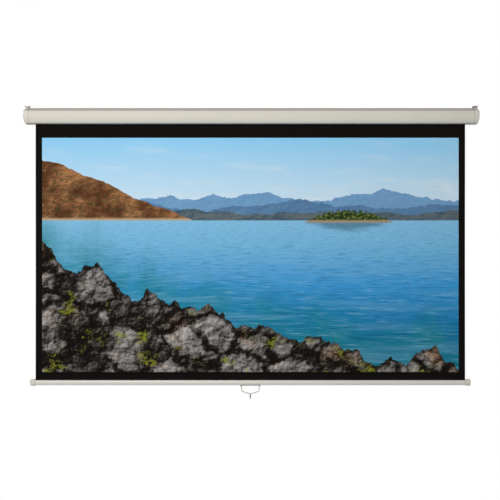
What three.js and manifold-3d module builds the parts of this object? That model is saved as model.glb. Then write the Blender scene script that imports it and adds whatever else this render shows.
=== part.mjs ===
// A pull down projector screen: a casing that hangs on a wall or under a ceiling, a spring roller
// inside it, a screen with a black mask, a weight bar and a wire pull.
// Millimetres. X runs along the casing, +Z is up and the wall is the plane y = 0, so the screen
// faces -Y. The origin is on the wall, at the middle of the casing's length and height.

import * as THREE from 'three';
import { mergeVertices } from 'three/addons/utils/BufferGeometryUtils.js';
import Module from 'manifold-3d';

const wasm = await Module();
wasm.setup();

// Fits
const seat_gap = 0.3; // between two pieces that rest on each other
const running_gap = 1.4; // along the axis, between a turning piece and a fixed one
const overrun = 6; // how far a cut passes the faces that it opens

// Screen cloth
const image_width = 1860;
const image_height = 1046;
const side_border = 29;
const top_border = 60; // black strip seen under the casing
const bottom_border = 36; // black strip seen above the bar
const cloth_thickness = 0.5;

// Hangers: a bent strap at each end, with a keyhole for a wall screw and one for a ceiling screw
const hanger_thickness = 2;
const hanger_width = 24;
const hanger_outset = 12.5; // the strap's middle, past the casing's end
const hanger_drop = 24; // below the casing's middle
const hanger_rise = 9; // above the casing's top
const flange_reach = 28;
const hanger_bend = 3;
const hanger_corner = 5;
const keyhole_entry = 4.5; // radius that a screw head passes
const keyhole_slot = 2.6; // half the width that a screw shank passes
const keyhole_travel = 9;
const wall_keyhole_z = -6;
const ceiling_keyhole_y = -19;
const pocket_half_width = 5.5;
const pocket_depth = 8;
const pocket_margin = 7;

// Casing
const casing_height = 73;
const casing_depth = 64;
const casing_wall = 1;
const left_end_room = 25; // from the cloth's edge to the casing's end
const right_end_room = 34;
const crease_share = 0.348; // height of the crease in the front, as a share of the casing's height
const shoulder_share = 0.756; // height at which the front turns into the sloping top
const upper_setback = 1; // how far the front leans back at the shoulder
const lower_setback = 10.5; // and at its bottom
const top_flat = 16; // level part of the top, from the back
const shoulder_radius = 4;
const top_radius = 12;
const bottom_front_radius = 12;
const crease_radius = 30;
const back_radius = 4;
const slot_width = 16;
const slot_lip = 5;
const slot_radius = 1.6;

// Roller
const tube_radius = 18;
const tube_wall = 1;
const tube_overhang = 8; // past the cloth's edge
const cloth_depth = 17.85; // from the wall to the hanging cloth
const axis_height = -3;
const wrap_turns = 2;
const plug_length = 30;
const plug_wall = 2.4;
const plug_flange = 3;
const hub_radius = 8;
const idle_pin_radius = 4;
const bush_wall = 3;
const bush_length = 20;
const bush_collar = 1.8;
const bush_collar_radius = 10;

// Spring motor
const spindle_share = 0.28; // radius of the spindle, as a share of the pawl pins' distance from the axis
const spindle_reach = 268; // from the tube's end into the tube
const blade_width = 11;
const blade_thickness = 3.4;
const blade_length = 26;
const ratchet_share = 0.594; // radius of the wheel, as a share of that distance
const ratchet_thickness = 4;
const ratchet_clearance = 0.8;
const notch_count = 4;
const notch_share = 0.294; // depth of a notch, as a share of the wheel's radius
const notch_face_angle = 10; // degrees past the notch's middle
const notch_floor_angle = 10; // degrees before it
const notch_ramp_angle = 35; // degrees before it, where the ramp meets the rim
const rim_facets = 3; // between two notches
const pawl_margin = 0.5; // from a pawl's eye to the rim of the flange
const pawl_pivot_angle = 38; // degrees behind the notch's middle
const pawl_eye_radius = 3.2;
const pawl_thickness = 3.4;
const pawl_nose_height = 3.7;
const pawl_nose_angle = 7;
const pawl_heel_angle = 6;
const pawl_heel_rise = 0.4;
const pawl_belly_angle = 142; // degrees past the top, where the arm's lower edge meets the eye
const pawl_back_angle = 7; // and its upper edge
const pawl_tip_clearance = 0.5;
const pawl_lift = 22; // degrees from locked to lifted clear
const pawl_count = 2;
const pawl_pin_radius = 1.5;
const pawl_pin_head_radius = 2.7;
const pawl_pin_head = 1.2;
const pawl_pin_depth = 9;
const spindle_overhang = 4; // past the bearing, and between the bearing and the anchor
const bearing_disc_width = 8;
const anchor_width = 9;
const anchor_radius = 13.5;
const spring_radius = 10;
const spring_wire_radius = 1.2;
const spring_curls = 26;
const spring_tang = 5;

// End caps
const cap_length = 22;
const cap_lip = 1.3; // how far a cap stands proud of the casing
const cap_seam = 1.4; // open joint between the casing and a cap
const cap_wall = 2.2;
const cap_rim = 2;
const cap_edge_radius = 6.5;
const cap_foot_slope = 6; // how far the cap's foot leans in
const plug_reach = 12; // into the casing
const ring_wall = 2;
const boss_radius = 11;
const rib_thickness = 2;
const tab_length = 11; // tongue under the casing's edge
const tab_thickness = 1.6;
const tab_width = 12;
const pillar_radius = 4.5;
const pillar_length = 13;

// Screws
const screw_radius = 1.6;
const screw_length = 12;
const screw_head_radius = 3.4;
const screw_head_height = 1.5;
const hanger_screw_heights = [24, -18.5];
const cap_screw_inset = 6;
const cap_screw_height = 29; // below the casing's middle
const cap_screw_length = 7;
const bracket_screw_spread = 22;
const bracket_screw_length = 6;

// Weight bar
const bar_height = 22.5;
const bar_depth = 16;
const bar_wall = 1;
const bar_overhang = 1; // past the cloth's edge
const bar_top_radius = 5;
const bar_bottom_radius = 5;
const bar_upper_setback = 1.6; // how far its sides lean in at the top
const bar_lower_setback = 2.5; // and at the bottom
const bar_side_radius = 20; // between the two slopes of a side
const bar_slot = 3.4;
const bar_lip = 3.5;
const rod_radius = 2.3;
const bar_cap_length = 22;
const bar_cap_height = 29.5;
const bar_cap_depth = 25;
const bar_cap_rise = 4.8; // above the bar's top
const bar_cap_radius = 9;
const bar_cap_neck = 1.6; // how far the cap narrows beside the bar
const bar_cap_round = 7;
const bar_cap_draw_share = 0.5; // how far its rounded end draws in, as a share of that rounding
const bar_plug_reach = 14;
const stop_gap = 0.5; // between a bar cap and the casing when the screen is rolled up

// Pull handle
const wire_radius = 1.6;
const pivot_bend = 2.3;
const foot_bend = 7;
const neck_bend = 3;
const pull_half_width = 39;
const pull_drop = 23.9; // from the pivot to the bends at the foot of the legs
const pull_slope = 11.2; // from those bends down to the neck
const neck_length = 8;
const eye_length = 8.5; // from the neck to the middle of the eye's round end
const eye_radius = 5.6;
const bracket_width = 12;
const bracket_thickness = 1.2;
const ear_width = 3;
const ear_radius = 2.9;

// Facets and turns
const full_turn = 360; // degrees
const corner_step = Math.PI / 8; // of a rounded corner's arc
const edge_steps = 4; // of a cap's rounded edge
const round_sides = 24;
const small_sides = 12;
const wire_sides = 8;
const bend_steps = 3;
const eye_steps = 10;
const wrap_sides = 28;
const spring_steps = 8;
const spring_sides = 5;

// Derived sizes
const cloth_width = image_width + 2 * side_border;
const casing_length = left_end_room + cloth_width + right_end_room;
const cloth_x = (left_end_room - right_end_room) / 2;
const top_z = casing_height / 2;
const bottom_z = -casing_height / 2;
const back_y = -(hanger_thickness + seat_gap);
const front_y = back_y - casing_depth;
const crease_z = bottom_z + casing_height * crease_share;
const shoulder_z = bottom_z + casing_height * shoulder_share;
const middle_y = (back_y + front_y) / 2;
const wrap_pitch = cloth_thickness + seat_gap;
const wrap_radius = tube_radius + (wrap_turns + 1) * wrap_pitch; // outside of the last wrap
const cloth_y = -cloth_depth;
const axis_y = cloth_y + cloth_thickness / 2 - wrap_radius;
const bar_top_z = bottom_z - top_border - image_height - bottom_border;
const bar_middle_z = bar_top_z - bar_height / 2;
const tube_length = cloth_width + 2 * tube_overhang;
const bar_length = cloth_width + 2 * bar_overhang;
const rod_drop = bar_lip + seat_gap + cloth_thickness + seat_gap + rod_radius; // below the bar's top
const cup_radius = tube_radius - tube_wall - seat_gap; // a plug inside the tube
const flange_face = tube_length / 2 + seat_gap + plug_flange;
const pawl_pivot_radius = tube_radius - pawl_margin - pawl_eye_radius;
const spindle_radius = pawl_pivot_radius * spindle_share;
const ratchet_radius = pawl_pivot_radius * ratchet_share;
const notch_floor_radius = ratchet_radius - ratchet_radius * notch_share;
const bearing_from = tube_length / 2 - spindle_reach + spindle_overhang;
const anchor_from = bearing_from + bearing_disc_width + spindle_overhang;
const left_boss_reach = left_end_room - tube_overhang - seat_gap - plug_flange - running_gap - bush_collar;
const pawl_stack = ratchet_clearance + ratchet_thickness + pawl_pin_head;
const right_boss_reach = right_end_room - tube_overhang - seat_gap - plug_flange - pawl_stack - running_gap;
const travel = bottom_z - stop_gap - (bar_top_z + bar_cap_rise);
const plate_top = -bar_height / 2 - seat_gap; // of the handle bracket, from the bar's middle
const pivot_z = plate_top - bracket_thickness - seat_gap - wire_radius;
const ear_from = pull_half_width + pivot_bend;

// Materials
function paint(color, roughness, metalness) {
  return new THREE.MeshStandardMaterial({ color, roughness, metalness });
}
const casing_paint = paint(0xdcd8cb, 0.42, 0.1);
const bar_paint = paint(0xdedcd2, 0.38, 0.1);
const cap_plastic = paint(0xe0dccf, 0.48, 0);
const zinc = paint(0xa9a8a2, 0.38, 0.9);
const wire_steel = paint(0xb6b3ac, 0.3, 0.9);
const spring_steel = paint(0x5d5c59, 0.4, 0.9);
const nylon = paint(0xe8e6dd, 0.5, 0);
const cloth_white = paint(0xf2f2ee, 0.85, 0);

// Solids
// Merges shared corners, drops faces with no area and turns all faces outwards.
function clean(geometry) {
  const bare = new THREE.BufferGeometry();
  bare.setAttribute('position', geometry.attributes.position);
  bare.setIndex(geometry.index);
  const merged = mergeVertices(bare);
  const place = (i) => new THREE.Vector3().fromBufferAttribute(merged.attributes.position, i);
  const faces = [];
  let volume = 0;
  for (let i = 0; i < merged.index.count; i += 3) {
    const [a, b, c] = [0, 1, 2].map((k) => merged.index.getX(i + k));
    if (a === b || b === c || c === a) continue;
    volume += place(a).dot(place(b).cross(place(c)));
    faces.push([a, b, c]);
  }
  merged.setIndex(faces.flatMap(([a, b, c]) => (volume < 0 ? [a, c, b] : [a, b, c])));
  merged.computeVertexNormals();
  return merged;
}

function toSolid(geometry) {
  const bare = clean(geometry);
  const vertProperties = new Float32Array(bare.attributes.position.array);
  const triVerts = new Uint32Array(bare.index.array);
  return new wasm.Manifold(new wasm.Mesh({ numProp: 3, vertProperties, triVerts }));
}

function toGeometry(solid) {
  const mesh = solid.getMesh();
  const geometry = new THREE.BufferGeometry();
  geometry.setAttribute('position', new THREE.BufferAttribute(new Float32Array(mesh.vertProperties), 3));
  geometry.setIndex(new THREE.BufferAttribute(new Uint32Array(mesh.triVerts), 1));
  geometry.computeVertexNormals();
  return geometry;
}

function join(geometries) {
  return toGeometry(geometries.map(toSolid).reduce((a, b) => a.add(b)));
}

function cut(geometry, tools) {
  return toGeometry(tools.map(toSolid).reduce((a, b) => a.subtract(b), toSolid(geometry)));
}

function common(a, b) {
  return toGeometry(toSolid(a).intersect(toSolid(b)));
}

// The same solid on the other side of the plane x = 0.
function mirrored(geometry) {
  return clean(geometry.clone().scale(-1, 1, 1));
}

function piece(name, geometry, material) {
  const mesh = new THREE.Mesh(clean(geometry), material);
  mesh.name = name;
  return mesh;
}

function group(x, y, z, children) {
  const made = new THREE.Group();
  made.position.set(x, y, z);
  made.add(...children);
  return made;
}

// Outlines are lists of corners, each with its two coordinates and the radius that rounds it.
function rounded(corners) {
  return corners.flatMap(([x, y, radius = 0], i) => {
    const here = new THREE.Vector2(x, y);
    if (!radius) return [here];
    const before = corners[(i + corners.length - 1) % corners.length];
    const after = corners[(i + 1) % corners.length];
    const back = new THREE.Vector2(before[0], before[1]).sub(here).normalize();
    const ahead = new THREE.Vector2(after[0], after[1]).sub(here).normalize();
    const half = Math.acos(THREE.MathUtils.clamp(back.dot(ahead), -1, 1)) / 2;
    const centre = back.clone().add(ahead).setLength(radius / Math.sin(half)).add(here);
    const start = back.clone().multiplyScalar(radius / Math.tan(half)).add(here);
    const turn = (2 * half - Math.PI) * Math.sign(back.cross(ahead));
    const count = Math.max(2, Math.round(Math.abs(turn) / corner_step));
    return Array.from({ length: count + 1 }, (_, k) => {
      return start.clone().rotateAround(centre, (turn * k) / count);
    });
  });
}

function outlineShape(corners) {
  return new THREE.Shape(rounded(corners));
}

// Moves an open path to its right, as its wall's inner face lies.
function offsetPath(path, distance) {
  return path.map(([x, y], i) => {
    const normals = [];
    for (const j of [i - 1, i]) {
      if (j < 0 || j + 1 >= path.length) continue;
      const along = new THREE.Vector2(path[j + 1][0] - path[j][0], path[j + 1][1] - path[j][1]).normalize();
      normals.push(new THREE.Vector2(along.y, -along.x));
    }
    const sum = normals.reduce((a, b) => a.clone().add(b));
    const scale = normals.length > 1 ? distance / (1 + normals[0].dot(normals[1])) : distance;
    const radius = path[i][2] ? Math.max(path[i][2] - distance, 0) : 0;
    return [x + sum.x * scale, y + sum.y * scale, radius];
  });
}

function stripShape(path, wall) {
  return outlineShape([...path, ...offsetPath(path, wall).reverse()]);
}

// Moves the corners of a closed outline out by a distance, or in where it is negative.
function grown(corners, distance) {
  const count = corners.length;
  return corners.map(([x, y, radius], i) => {
    const before = corners[(i + count - 1) % count];
    const after = corners[(i + 1) % count];
    const a = new THREE.Vector2(x - before[0], y - before[1]).normalize();
    const b = new THREE.Vector2(after[0] - x, after[1] - y).normalize();
    const na = new THREE.Vector2(-a.y, a.x);
    const nb = new THREE.Vector2(-b.y, b.x);
    const scale = distance / (1 + na.dot(nb));
    return [x + (na.x + nb.x) * scale, y + (na.y + nb.y) * scale, Math.max(radius + distance, 0)];
  });
}

// A shape drawn in y and z, pushed along x.
function prism(shape, from, to) {
  const geometry = new THREE.ExtrudeGeometry(shape, {
    depth: to - from,
    bevelEnabled: false,
  });
  const turn = new THREE.Matrix4().makeBasis(
    new THREE.Vector3(0, 1, 0),
    new THREE.Vector3(0, 0, 1),
    new THREE.Vector3(1, 0, 0),
  );
  return geometry.applyMatrix4(turn).translate(from, 0, 0);
}

function box(low, high) {
  const size = high.map((value, i) => value - low[i]);
  const middle = high.map((value, i) => (value + low[i]) / 2);
  return new THREE.BoxGeometry(...size).translate(...middle);
}

// Round bars along each axis, between two places on it.
function barX(radius, from, to, y = 0, z = 0, sides = round_sides) {
  const bar = new THREE.CylinderGeometry(radius, radius, to - from, sides);
  return bar.rotateZ(Math.PI / 2).translate((from + to) / 2, y, z);
}

function barY(radius, from, to, x, z, sides = small_sides) {
  const bar = new THREE.CylinderGeometry(radius, radius, to - from, sides);
  return bar.translate(x, (from + to) / 2, z);
}

function barZ(radius, from, to, x, y, sides = small_sides) {
  const bar = new THREE.CylinderGeometry(radius, radius, to - from, sides);
  return bar.rotateX(Math.PI / 2).translate(x, y, (from + to) / 2);
}

// A profile of [radius, x] points turned about the x axis.
function turned(profile, sides = round_sides) {
  const points = profile.map(([radius, x]) => new THREE.Vector2(radius, x));
  return new THREE.LatheGeometry(points, sides).rotateZ(-Math.PI / 2);
}

function middle(ring) {
  return ring.reduce((a, b) => a.map((v, i) => v + b[i])).map((v) => v / ring.length);
}

// A closed skin through rings of points, with a face over each end. The last one meets at a tip.
function loft(rings, tip = middle(rings.at(-1))) {
  const count = rings[0].length;
  const positions = rings.flat();
  positions.push(middle(rings[0]), tip);
  const index = [];
  for (let r = 0; r + 1 < rings.length; r++) {
    for (let i = 0; i < count; i++) {
      const a = r * count + i;
      const b = r * count + ((i + 1) % count);
      index.push(a, b, a + count, b, b + count, a + count);
    }
  }
  const last = (rings.length - 1) * count;
  for (let i = 0; i < count; i++) {
    const next = (i + 1) % count;
    index.push(next, i, rings.length * count);
    index.push(last + i, last + next, rings.length * count + 1);
  }
  const geometry = new THREE.BufferGeometry();
  geometry.setAttribute('position', new THREE.Float32BufferAttribute(positions.flat(), 3));
  geometry.setIndex(index);
  return geometry;
}

// A round wire along a path of points.
function wire(points, radius, sides) {
  const path = points.map((point) => new THREE.Vector3(...point));
  const along = path.map((here, i) => {
    const back = i ? here.clone().sub(path[i - 1]).normalize() : new THREE.Vector3();
    const ahead = i + 1 < path.length ? path[i + 1].clone().sub(here).normalize() : new THREE.Vector3();
    return back.add(ahead).normalize();
  });
  const steep = Math.abs(along[0].z) > Math.SQRT1_2;
  const upright = steep ? new THREE.Vector3(0, 1, 0) : new THREE.Vector3(0, 0, 1);
  let side = upright.cross(along[0]).normalize();
  const rings = path.map((here, i) => {
    side = side.clone().addScaledVector(along[i], -side.dot(along[i])).normalize();
    const other = along[i].clone().cross(side);
    return Array.from({ length: sides }, (_, k) => {
      const angle = (2 * Math.PI * k) / sides;
      const point = here.clone().addScaledVector(side, radius * Math.cos(angle));
      return point.addScaledVector(other, radius * Math.sin(angle)).toArray();
    });
  });
  return loft(rings);
}

// The points of a bent wire: its corners, each rounded to a radius.
function bentPath(corners) {
  return corners.flatMap(([x, y, z, radius = 0], i) => {
    if (!radius) return [[x, y, z]];
    const here = new THREE.Vector3(x, y, z);
    const back = new THREE.Vector3(...corners[i - 1].slice(0, 3)).sub(here).normalize();
    const ahead = new THREE.Vector3(...corners[i + 1].slice(0, 3)).sub(here).normalize();
    const half = back.angleTo(ahead) / 2;
    const centre = back.clone().add(ahead).normalize().multiplyScalar(radius / Math.sin(half)).add(here);
    const start = back.multiplyScalar(radius / Math.tan(half)).add(here).sub(centre);
    const end = ahead.multiplyScalar(radius / Math.tan(half)).add(here).sub(centre);
    const axis = start.clone().cross(end).normalize();
    const turn = start.angleTo(end);
    return Array.from({ length: bend_steps + 1 }, (_, k) =>
      start.clone().applyAxisAngle(axis, (turn * k) / bend_steps).add(centre).toArray(),
    );
  });
}

// Casing
const casing_outline = [
  [front_y + lower_setback, bottom_z, bottom_front_radius],
  [front_y, crease_z, crease_radius],
  [front_y + upper_setback, shoulder_z, shoulder_radius],
  [back_y - top_flat, top_z, top_radius],
  [back_y, top_z, back_radius],
  [back_y, bottom_z, back_radius],
];
const slot_front_y = cloth_y - slot_width / 2;
const slot_back_y = cloth_y + slot_width / 2;

function casingPath() {
  return [
    [slot_front_y, bottom_z + slot_lip],
    [slot_front_y, bottom_z, slot_radius],
    ...casing_outline,
    [slot_back_y, bottom_z, slot_radius],
    [slot_back_y, bottom_z + slot_lip],
  ];
}

// Room for the wall screw's head in a cap's back
function pocket() {
  const low = [hanger_outset - pocket_half_width, back_y - pocket_depth, wall_keyhole_z - pocket_margin];
  const high = [hanger_outset + pocket_half_width, overrun, wall_keyhole_z + keyhole_travel + pocket_margin];
  return box(low, high);
}

function capScrewHole() {
  return barY(screw_radius + seat_gap, back_y - pocket_depth, overrun, -cap_screw_inset, -cap_screw_height);
}

function casing() {
  const skin = prism(stripShape(casingPath(), casing_wall), -casing_length / 2, casing_length / 2);
  const right_hole = capScrewHole().translate(casing_length / 2, 0, 0);
  return piece('casing', cut(skin, [right_hole, mirrored(right_hole)]), casing_paint);
}

// End caps, drawn with x = 0 at the casing's end and x pointing outwards. Below the crease their
// outer face leans in.
const cap_outline = [...casing_outline.slice(0, -1), [back_y, crease_z], casing_outline.at(-1)];

function capRing(x, inset, lean) {
  return rounded(cap_outline).map((point) => {
    const out = new THREE.Vector2(point.x - middle_y, point.y);
    out.setLength(out.length() + cap_lip - inset);
    const foot = Math.max(0, (crease_z - out.y) / (crease_z - bottom_z));
    return [x - lean * foot, Math.min(out.x + middle_y, 0), out.y];
  });
}

function capSkin(inset, length) {
  const straight = length - cap_edge_radius;
  const rings = [capRing(cap_seam, inset, 0), capRing(straight / 2, inset, 0)];
  for (let i = 0; i <= edge_steps; i++) {
    const angle = ((Math.PI / 2) * i) / edge_steps;
    const drawn = cap_edge_radius * (1 - Math.cos(angle));
    const lean_share = (i + edge_steps) / (2 * edge_steps);
    const x = straight + cap_edge_radius * Math.sin(angle);
    rings.push(capRing(x, inset + drawn, cap_foot_slope * lean_share));
  }
  return loft(rings, [length, middle_y, crease_z]);
}

function bossBar(radius, reach) {
  return barX(radius, -reach, cap_length - cap_wall / 2, axis_y, axis_height);
}

function capTab() {
  const top = bottom_z - seat_gap;
  const front = front_y + lower_setback + bottom_front_radius;
  return box([-tab_length, front, top - tab_thickness], [cap_rim, front + tab_width, top]);
}

function capRibs(reach) {
  const half = rib_thickness / 2;
  const from = -reach / 2;
  const tall = box([from, axis_y - half, -casing_height], [cap_length, axis_y + half, casing_height]);
  const wide = box([from, front_y - casing_depth, axis_height - half], [cap_length, 0, axis_height + half]);
  const inside = join([
    capSkin(cap_lip + cap_wall / 2, cap_length - cap_wall / 2),
    prism(outlineShape(grown(casing_outline, -casing_wall - seat_gap - ring_wall / 2)), from, cap_rim),
  ]);
  return common(join([tall, wide]), inside);
}

// The rim that a cap pushes into the casing, open over the slot and clear of its lips
function capRingStrip() {
  const inner = offsetPath(casingPath().slice(1, -1), casing_wall + seat_gap);
  inner[0][0] -= casing_wall + seat_gap;
  inner[0][2] = 0;
  inner[inner.length - 1][0] += casing_wall + seat_gap;
  inner[inner.length - 1][2] = 0;
  return prism(stripShape(inner, ring_wall), -plug_reach, cap_rim);
}

function endCap(name, reach, socket, flip) {
  const hollow = capSkin(cap_lip + cap_wall, cap_length - cap_wall).translate(-cap_seam, 0, 0);
  const rim_outline = grown(casing_outline, -casing_wall - seat_gap);
  const rim_hole_outline = grown(casing_outline, -casing_wall - seat_gap - ring_wall);
  const rim = cut(prism(outlineShape(rim_outline), 0, cap_rim), [
    prism(outlineShape(rim_hole_outline), -overrun, overrun),
  ]);
  const shell = cut(capSkin(0, cap_length), [hollow]);
  const pillars = hanger_screw_heights.map((z) =>
    barY(pillar_radius, back_y - pillar_length, back_y - seat_gap, hanger_outset, z),
  );
  const boss = bossBar(boss_radius, reach);
  const parts = [shell, rim, capRingStrip(), capTab(), capRibs(reach), boss, ...pillars];
  const strap_bed = box(
    [-overrun - plug_reach, back_y, -hanger_drop - seat_gap],
    [hanger_outset + hanger_width / 2 + seat_gap, overrun, top_z + overrun],
  );
  const hole_end = -hanger_thickness - screw_length - seat_gap;
  const screw_holes = hanger_screw_heights.map((z) =>
    barY(screw_radius + seat_gap, hole_end, overrun, hanger_outset, z),
  );
  const made = cut(join(parts), [socket, pocket(), capScrewHole(), strap_bed, ...screw_holes]);
  return piece(name, flip ? mirrored(made) : made, cap_plastic);
}

function bushSocket() {
  const radius = idle_pin_radius + bush_wall + 2 * seat_gap;
  return barX(radius, -left_boss_reach - overrun, -left_boss_reach + bush_length, axis_y, axis_height);
}

function bladeSocket() {
  const half_width = blade_width / 2 + seat_gap;
  const half_thickness = blade_thickness / 2 + seat_gap;
  return box(
    [-right_boss_reach - overrun, axis_y - half_thickness, axis_height - half_width],
    [-right_boss_reach + blade_length + seat_gap, axis_y + half_thickness, axis_height + half_width],
  );
}

// Hangers, drawn as the end caps are
function keyholeY(x, z) {
  return [
    barY(keyhole_entry, -hanger_thickness - overrun, overrun, x, z),
    barY(keyhole_slot, -hanger_thickness - overrun, overrun, x, z + keyhole_travel),
    box([x - keyhole_slot, -hanger_thickness - overrun, z], [x + keyhole_slot, overrun, z + keyhole_travel]),
  ];
}

function keyholeZ(x, y, z) {
  return [
    barZ(keyhole_entry, z - overrun, z + overrun, x, y),
    barZ(keyhole_slot, z - overrun, z + overrun, x, y + keyhole_travel),
    box([x - keyhole_slot, y, z - overrun], [x + keyhole_slot, y + keyhole_travel, z + overrun]),
  ];
}

function hanger(name, flip) {
  const high = top_z + hanger_rise;
  const path = [[-flange_reach, high], [0, high, hanger_bend + hanger_thickness], [0, -hanger_drop]];
  const low_x = hanger_outset - hanger_width / 2;
  const high_x = hanger_outset + hanger_width / 2;
  const strap = prism(stripShape(path, hanger_thickness), low_x, high_x);
  const flange_plan = outlineShape([
    [low_x, overrun],
    [low_x, -flange_reach, hanger_corner],
    [high_x, -flange_reach, hanger_corner],
    [high_x, overrun],
  ]);
  const leg_plan = outlineShape([
    [low_x, -hanger_drop, hanger_corner],
    [high_x, -hanger_drop, hanger_corner],
    [high_x, high + overrun],
    [low_x, high + overrun],
  ]);
  const depth = 2 * casing_height;
  const flange_tool = new THREE.ExtrudeGeometry(flange_plan, { depth, bevelEnabled: false });
  const leg_tool = new THREE.ExtrudeGeometry(leg_plan, { depth, bevelEnabled: false });
  flange_tool.translate(0, 0, -casing_height);
  leg_tool.rotateX(Math.PI / 2).translate(0, casing_height, 0);
  const holes = hanger_screw_heights.map((z) =>
    countersunk(seat_gap, overrun, screw_length).translate(hanger_outset, -seat_gap, z),
  );
  const keyholes = [
    ...keyholeY(hanger_outset, wall_keyhole_z),
    ...keyholeZ(hanger_outset, ceiling_keyhole_y, high),
  ];
  const made = cut(common(common(strap, flange_tool), leg_tool), [...holes, ...keyholes]);
  return piece(name, flip ? mirrored(made) : made, zinc);
}

// Screws point along -Y, with the head at y = 0. A clearance and a rise above the head give the
// hole that the screw lies in.
function countersunk(clearance, rise, length) {
  const profile = [
    [0, -rise],
    [screw_head_radius + clearance, -rise],
    [screw_head_radius + clearance, 0],
    [screw_radius + clearance, screw_head_height],
    [screw_radius + clearance, length],
    [0, length],
  ];
  return turned(profile, small_sides).rotateZ(-Math.PI / 2);
}

function countersunkScrew(name, x, z) {
  return piece(name, countersunk(0, 0, screw_length).translate(x, -seat_gap, z), zinc);
}

function panScrew(length) {
  return turned(
    [
      [0, -screw_head_height],
      [screw_head_radius * Math.SQRT1_2, -screw_head_height],
      [screw_head_radius, -screw_head_height / 2],
      [screw_head_radius, 0],
      [screw_radius, 0],
      [screw_radius, length],
      [0, length],
    ],
    small_sides,
  );
}

function capScrew(name, x) {
  const screw = panScrew(cap_screw_length).rotateZ(-Math.PI / 2);
  return piece(name, screw.translate(x, back_y + seat_gap, -cap_screw_height), zinc);
}

// Screen cloth: the hanging sheet, with a pocket for the rod along its foot
function clothSheet() {
  const half = cloth_thickness / 2;
  const rod_z = bar_top_z - rod_drop;
  const pocket_radius = rod_radius + seat_gap + cloth_thickness;
  const sheet = box(
    [-cloth_width / 2, cloth_y - half, rod_z + pocket_radius - cloth_thickness],
    [cloth_width / 2, cloth_y + half, axis_height - seat_gap],
  );
  const loop = barX(pocket_radius, -cloth_width / 2, cloth_width / 2, cloth_y, rod_z);
  const bore = barX(pocket_radius - cloth_thickness, -cloth_width, cloth_width, cloth_y, rod_z);
  return piece('screen_cloth', cut(join([sheet, loop]), [bore]), cloth_white);
}

// The turns of cloth that stay on the tube, as one spiral
function clothWraps() {
  const steps = wrap_turns * wrap_sides;
  const spiral = (radius) =>
    Array.from({ length: steps + 1 }, (_, i) => {
      const angle = (2 * Math.PI * (steps - i)) / wrap_sides;
      const reach = radius - (wrap_pitch * (steps - i)) / wrap_sides;
      return new THREE.Vector2(reach * Math.cos(angle), reach * Math.sin(angle));
    });
  const outside = spiral(wrap_radius);
  const inside = spiral(wrap_radius - cloth_thickness).reverse();
  const shape = new THREE.Shape([...outside, ...inside]);
  return piece('cloth_wraps', prism(shape, -cloth_width / 2, cloth_width / 2), cloth_white);
}

// Roller
function rollerTube() {
  const half = tube_length / 2;
  const bore = barX(tube_radius - tube_wall, -tube_length, tube_length);
  return piece('roller_tube', cut(barX(tube_radius, -half, half), [bore]), zinc);
}

// A plug's cup inside the tube's end, its flange and its hub, as one turned profile
function plugBody(bore) {
  const inner = tube_length / 2 - plug_length;
  const floor = flange_face - plug_flange - seat_gap;
  return turned([
    [bore, inner],
    [hub_radius, inner],
    [hub_radius, floor],
    [cup_radius - plug_wall, floor],
    [cup_radius - plug_wall, inner + plug_wall],
    [cup_radius, inner + 2 * plug_wall],
    [cup_radius, flange_face - plug_flange],
    [tube_radius, flange_face - plug_flange],
    [tube_radius, flange_face],
    [bore, flange_face],
    ...(bore ? [[bore, inner]] : []),
  ]);
}

function idlePlug() {
  const pin = barX(idle_pin_radius, flange_face - plug_flange, flange_face + bush_collar + bush_length);
  return piece('idle_plug', mirrored(join([plugBody(0), pin])), nylon);
}

// A place round the axis, in y and z, by its degrees past the top.
function polar(radius, degrees) {
  const angle = THREE.MathUtils.degToRad(degrees);
  return [-radius * Math.sin(angle), radius * Math.cos(angle)];
}

function pivotPlace(index) {
  return polar(pawl_pivot_radius, (full_turn * index) / pawl_count - pawl_pivot_angle);
}

function drivePlug() {
  const holes = Array.from({ length: pawl_count }, (_, i) => {
    const [y, z] = pivotPlace(i);
    const from = flange_face - pawl_pin_depth - seat_gap;
    return barX(pawl_pin_radius + seat_gap, from, flange_face + overrun, y, z, small_sides);
  });
  const bosses = Array.from({ length: pawl_count }, (_, i) => {
    const [y, z] = pivotPlace(i);
    return barX(pawl_eye_radius, flange_face - pawl_pin_depth - plug_wall, flange_face, y, z, small_sides);
  });
  const inside = barX(cup_radius, 0, tube_length);
  const tang_hole = barX(
    spring_wire_radius + seat_gap,
    tube_length / 2 - plug_length - overrun,
    tube_length / 2 - plug_length + spring_tang + seat_gap,
    0,
    spring_radius,
    small_sides,
  );
  const tang_seat = barX(
    spring_wire_radius + seat_gap + plug_wall,
    tube_length / 2 - plug_length,
    tube_length / 2 - plug_length + spring_tang + plug_wall,
    0,
    spring_radius,
    small_sides,
  );
  const body = plugBody(spindle_radius + seat_gap);
  const spokes = common(join([...bosses, tang_seat]), inside);
  return piece('drive_plug', cut(join([body, spokes]), [...holes, tang_hole]), nylon);
}

function pawlPin(index) {
  const [y, z] = pivotPlace(index);
  const head_from = flange_face + ratchet_clearance + pawl_thickness + seat_gap;
  const from = flange_face - pawl_pin_depth;
  const shank = barX(pawl_pin_radius, from, head_from + pawl_pin_head / 2, y, z, small_sides);
  const head = barX(pawl_pin_head_radius, head_from, head_from + pawl_pin_head, y, z, small_sides);
  return piece(`pawl_pin_${index + 1}`, join([shank, head]), zinc);
}

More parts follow.
